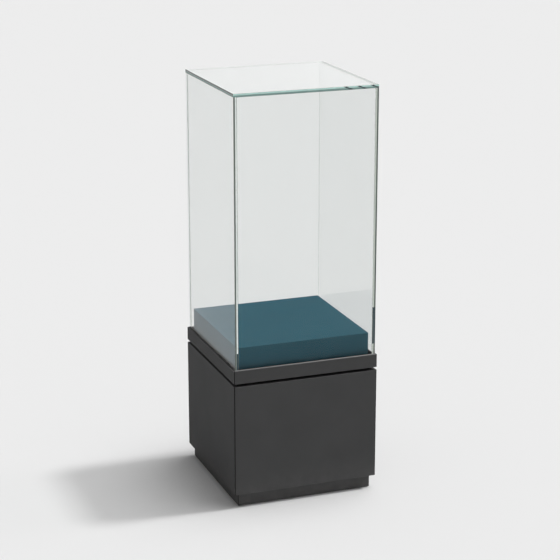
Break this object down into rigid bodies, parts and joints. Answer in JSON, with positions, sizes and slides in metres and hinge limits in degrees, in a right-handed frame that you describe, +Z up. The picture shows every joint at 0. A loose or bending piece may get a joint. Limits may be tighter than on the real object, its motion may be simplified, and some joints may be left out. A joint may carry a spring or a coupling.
{
  "type": "tower display case",
  "caption": "Free-standing museum display case: square lift-off glass hood in a metal band over a clad base cabinet with a rear drawer and door.",
  "frame": {"origin": "centre of the footprint, on the floor", "axes": "+Z up, the front faces -Y, the door and drawer are in the rear face at +Y, +X to the right seen from the front"},
  "size_m": [0.6, 0.6, 1.656],
  "materials": {
    "charcoal_board": "MDF board, satin charcoal lacquer",
    "charcoal_metal": "satin charcoal powder coat",
    "black_steel": "matt black primer",
    "zinc_steel": "bright zinc plate",
    "lock_steel": "satin nickel",
    "glass": "laminated float glass, polished edges",
    "black_rubber": "matt EPDM",
    "teal_paint": "MDF box, matt teal paint",
    "white_plastic": "moulded, fine texture",
    "foot_plastic": "glass-filled nylon"
  },
  "bodies": {
    "root": {"plinth_front": "charcoal_board", "plinth_right": "charcoal_board", "plinth_rear": "charcoal_board", "plinth_left": "charcoal_board", "panel_front": "charcoal_board", "panel_left": "charcoal_board", "panel_right": "charcoal_board", "rear_stile_left": "charcoal_board", "rear_stile_right": "charcoal_board", "deck_tray": "charcoal_metal", "upright_front_left": "black_steel", "upright_front_right": "black_steel", "upright_rear_left": "black_steel", "upright_rear_right": "black_steel", "seat_rail_front": "black_steel", "seat_rail_right": "black_steel", "seat_rail_rear": "black_steel", "seat_rail_left": "black_steel", "floor_plate": "black_steel", "mid_rail": "black_steel", "foot_block_front_left": "black_steel", "foot_block_front_right": "black_steel", "foot_block_rear_left": "black_steel", "foot_block_rear_right": "black_steel", "chamber_shelf": "zinc_steel", "drawer_runner_left": "zinc_steel", "drawer_runner_right": "zinc_steel", "door_pivot_top": "zinc_steel", "door_pivot_bottom": "zinc_steel"},
    "hood": {"glass_front": "glass", "glass_right": "glass", "glass_rear": "glass", "glass_left": "glass", "glass_top": "glass", "band_front": "charcoal_metal", "band_right": "charcoal_metal", "band_rear": "charcoal_metal", "band_left": "charcoal_metal", "hood_gasket": "black_rubber", "glazing_tape": "black_rubber", "hood_lock_left_housing": "lock_steel", "hood_lock_right_housing": "lock_steel"},
    "hood_lock_left": {"hood_lock_left_plug": "lock_steel"},
    "hood_lock_right": {"hood_lock_right_plug": "lock_steel"},
    "display_block": {"display_block": "teal_paint"},
    "rear_door": {"rear_door": "charcoal_board", "door_seal": "black_rubber", "door_lock_housing": "lock_steel"},
    "door_lock": {"door_lock_plug": "lock_steel"},
    "drawer": {"drawer_front": "charcoal_board", "drawer_seal": "black_rubber", "drawer_lock_housing": "lock_steel", "drawer_tray": "zinc_steel", "silica_cassette_left": "white_plastic", "silica_cassette_right": "white_plastic"},
    "drawer_lock": {"drawer_lock_plug": "lock_steel"},
    "foot_front_left": {"foot_front_left": "foot_plastic"},
    "foot_front_right": {"foot_front_right": "foot_plastic"},
    "foot_rear_left": {"foot_rear_left": "foot_plastic"},
    "foot_rear_right": {"foot_rear_right": "foot_plastic"}
  },
  "joints": [
    {"name": "hood_lift", "type": "slide", "parent": "root", "child": "hood", "axis": [0, 0, 1], "range_m": [0, 0.3]},
    {"name": "hood_lock_left_turn", "type": "hinge", "parent": "hood", "child": "hood_lock_left", "pos_m": [-0.18, 0.3, 0.527], "axis": [0, 1, 0], "range_deg": [0, 90]},
    {"name": "hood_lock_right_turn", "type": "hinge", "parent": "hood", "child": "hood_lock_right", "pos_m": [0.18, 0.3, 0.527], "axis": [0, 1, 0], "range_deg": [0, 90]},
    {"name": "display_block_lift", "type": "slide", "parent": "root", "child": "display_block", "axis": [0, 0, 1], "range_m": [0, 0.12]},
    {"name": "rear_door_swing", "type": "hinge", "parent": "root", "child": "rear_door", "pos_m": [-0.2505, 0.294, 0.228], "axis": [0, 0, 1], "range_deg": [0, 105]},
    {"name": "door_lock_turn", "type": "hinge", "parent": "rear_door", "child": "door_lock", "pos_m": [0.2, 0.3, 0.357], "axis": [0, 1, 0], "range_deg": [0, 90]},
    {"name": "drawer_slide", "type": "slide", "parent": "root", "child": "drawer", "axis": [0, 1, 0], "range_m": [0, 0.36]},
    {"name": "drawer_lock_turn", "type": "hinge", "parent": "drawer", "child": "drawer_lock", "pos_m": [0, 0.3, 0.49], "axis": [0, 1, 0], "range_deg": [0, 90]},
    {"name": "foot_front_left_screw", "type": "slide", "parent": "root", "child": "foot_front_left", "axis": [0, 0, -1], "range_m": [0, 0.015]},
    {"name": "foot_front_right_screw", "type": "slide", "parent": "root", "child": "foot_front_right", "axis": [0, 0, -1], "range_m": [0, 0.015]},
    {"name": "foot_rear_left_screw", "type": "slide", "parent": "root", "child": "foot_rear_left", "axis": [0, 0, -1], "range_m": [0, 0.015]},
    {"name": "foot_rear_right_screw", "type": "slide", "parent": "root", "child": "foot_rear_right", "axis": [0, 0, -1], "range_m": [0, 0.015]}
  ]
}
